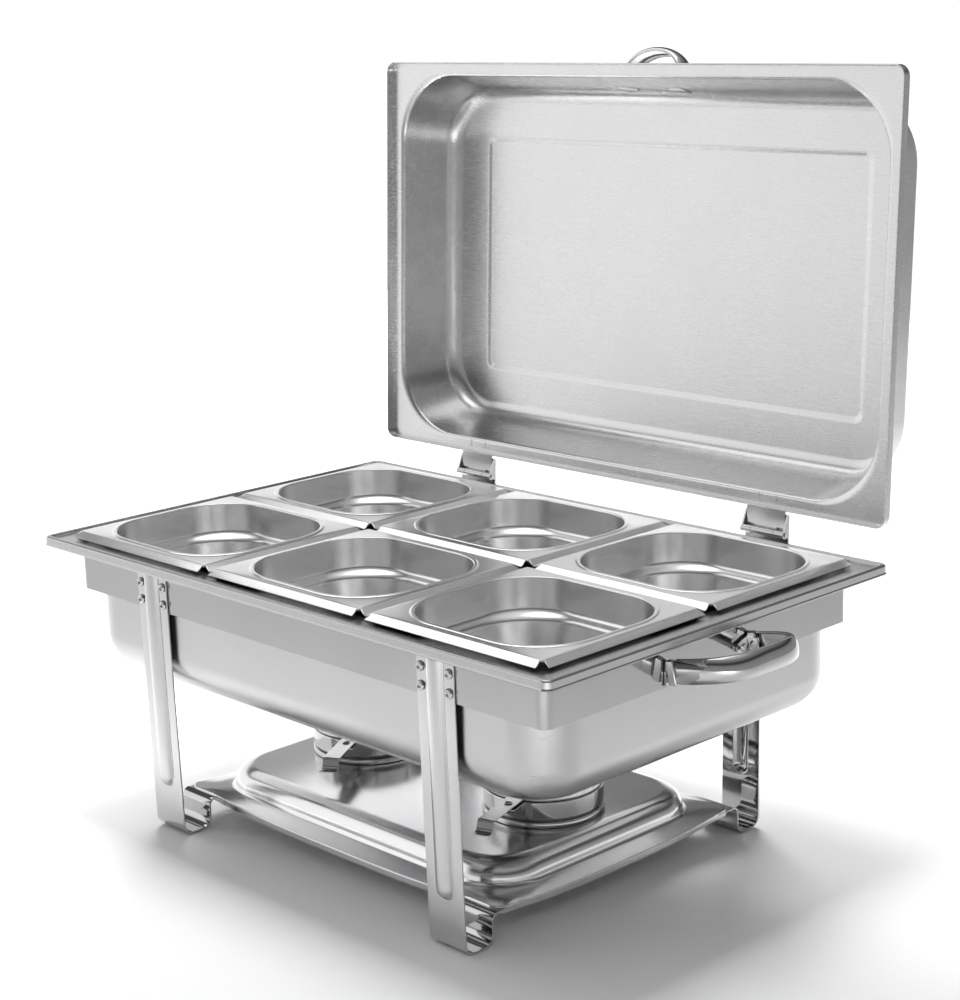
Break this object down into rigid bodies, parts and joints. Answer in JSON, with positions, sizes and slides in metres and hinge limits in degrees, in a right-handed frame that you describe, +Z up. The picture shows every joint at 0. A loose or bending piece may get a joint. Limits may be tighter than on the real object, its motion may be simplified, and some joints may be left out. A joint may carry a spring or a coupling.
{
  "type": "chafing dish food warmer",
  "caption": "Stainless steel chafing dish with a hinged dome lid, lift-out food pans over a water pan, a riveted strap frame and fuel burners with swinging covers.",
  "frame": {"origin": "on the floor, under the middle of the object's outline with the lid standing open", "axes": "+Z up, X along the long side, +Y to the hinged rear; the front faces -Y"},
  "size_m": [0.648, 0.448, 0.5985],
  "materials": {
    "polished_steel": "mirror-polished stainless steel",
    "tray_steel": "bright stainless steel, faintly brushed",
    "pan_steel": "satin stainless steel",
    "food_pan_steel": "satin stainless steel with bright flanges",
    "lid_steel": "fine-brushed stainless steel inside, polished outside",
    "hinge_steel": "bright cold-rolled stainless steel",
    "burner_steel": "bright stainless steel sheet",
    "rivet_steel": "plain steel rivet"
  },
  "bodies": {
    "frame": {"frame_band": "polished_steel", "leg_front_left": "polished_steel", "leg_front_right": "polished_steel", "leg_rear_left": "polished_steel", "leg_rear_right": "polished_steel", "rivet_front_left_lower_a": "rivet_steel", "rivet_front_left_lower_b": "rivet_steel", "rivet_front_left_upper_a": "rivet_steel", "rivet_front_left_upper_b": "rivet_steel", "rivet_front_right_lower_a": "rivet_steel", "rivet_front_right_lower_b": "rivet_steel", "rivet_front_right_upper_a": "rivet_steel", "rivet_front_right_upper_b": "rivet_steel", "rivet_rear_left_lower_a": "rivet_steel", "rivet_rear_left_lower_b": "rivet_steel", "rivet_rear_left_upper_a": "rivet_steel", "rivet_rear_left_upper_b": "rivet_steel", "rivet_rear_right_lower_a": "rivet_steel", "rivet_rear_right_lower_b": "rivet_steel", "rivet_rear_right_upper_a": "rivet_steel", "rivet_rear_right_upper_b": "rivet_steel", "base_tray": "tray_steel", "side_handle_left": "polished_steel", "side_handle_left_foot_a": "polished_steel", "side_handle_left_foot_b": "polished_steel", "side_handle_right": "polished_steel", "side_handle_right_foot_a": "polished_steel", "side_handle_right_foot_b": "polished_steel", "hinge_bracket_left": "hinge_steel", "hinge_pin_left": "rivet_steel", "hinge_bracket_right": "hinge_steel", "hinge_pin_right": "rivet_steel", "burner_seat_left": "burner_steel", "burner_seat_right": "burner_steel"},
    "lid": {"lid": "lid_steel", "lid_handle": "polished_steel", "lid_handle_foot_a": "polished_steel", "lid_handle_foot_b": "polished_steel", "hinge_leaf_left": "hinge_steel", "hinge_leaf_right": "hinge_steel"},
    "water_pan": {"water_pan": "pan_steel"},
    "food_pan_front_left": {"food_pan_front_left": "food_pan_steel"},
    "food_pan_front_middle": {"food_pan_front_middle": "food_pan_steel"},
    "food_pan_front_right": {"food_pan_front_right": "food_pan_steel"},
    "food_pan_rear_left": {"food_pan_rear_left": "food_pan_steel"},
    "food_pan_rear_middle": {"food_pan_rear_middle": "food_pan_steel"},
    "food_pan_rear_right": {"food_pan_rear_right": "food_pan_steel"},
    "burner_left": {"burner_cup_left": "burner_steel", "burner_bracket_left": "burner_steel", "cover_pivot_left": "rivet_steel"},
    "burner_cover_left": {"burner_cover_left": "burner_steel", "cover_handle_left": "burner_steel"},
    "burner_right": {"burner_cup_right": "burner_steel", "burner_bracket_right": "burner_steel", "cover_pivot_right": "rivet_steel"},
    "burner_cover_right": {"burner_cover_right": "burner_steel", "cover_handle_right": "burner_steel"}
  },
  "joints": [
    {"name": "lid_hinge", "type": "hinge", "parent": "frame", "child": "lid", "pos_m": [0, 0.145, 0.231], "axis": [-1, 0, 0], "range_deg": [-93, 0]},
    {"name": "water_pan_lift", "type": "slide", "parent": "frame", "child": "water_pan", "axis": [0, 0, 1], "range_m": [0, 0.12]},
    {"name": "food_pan_front_left_lift", "type": "slide", "parent": "water_pan", "child": "food_pan_front_left", "axis": [0, 0, 1], "range_m": [0, 0.08]},
    {"name": "food_pan_front_middle_lift", "type": "slide", "parent": "water_pan", "child": "food_pan_front_middle", "axis": [0, 0, 1], "range_m": [0, 0.08]},
    {"name": "food_pan_front_right_lift", "type": "slide", "parent": "water_pan", "child": "food_pan_front_right", "axis": [0, 0, 1], "range_m": [0, 0.08]},
    {"name": "food_pan_rear_left_lift", "type": "slide", "parent": "water_pan", "child": "food_pan_rear_left", "axis": [0, 0, 1], "range_m": [0, 0.08]},
    {"name": "food_pan_rear_middle_lift", "type": "slide", "parent": "water_pan", "child": "food_pan_rear_middle", "axis": [0, 0, 1], "range_m": [0, 0.08]},
    {"name": "food_pan_rear_right_lift", "type": "slide", "parent": "water_pan", "child": "food_pan_rear_right", "axis": [0, 0, 1], "range_m": [0, 0.08]},
    {"name": "burner_left_lift", "type": "slide", "parent": "frame", "child": "burner_left", "axis": [0, 0, 1], "range_m": [0, 0.04]},
    {"name": "burner_cover_left_pivot", "type": "hinge", "parent": "burner_left", "child": "burner_cover_left", "pos_m": [-0.0715, -0.09237, 0.062], "axis": [0, 0, 1], "range_deg": [0, 100]},
    {"name": "burner_right_lift", "type": "slide", "parent": "frame", "child": "burner_right", "axis": [0, 0, 1], "range_m": [0, 0.04]},
    {"name": "burner_cover_right_pivot", "type": "hinge", "parent": "burner_right", "child": "burner_cover_right", "pos_m": [0.11761, -0.09721, 0.062], "axis": [0, 0, 1], "range_deg": [0, 100]}
  ]
}
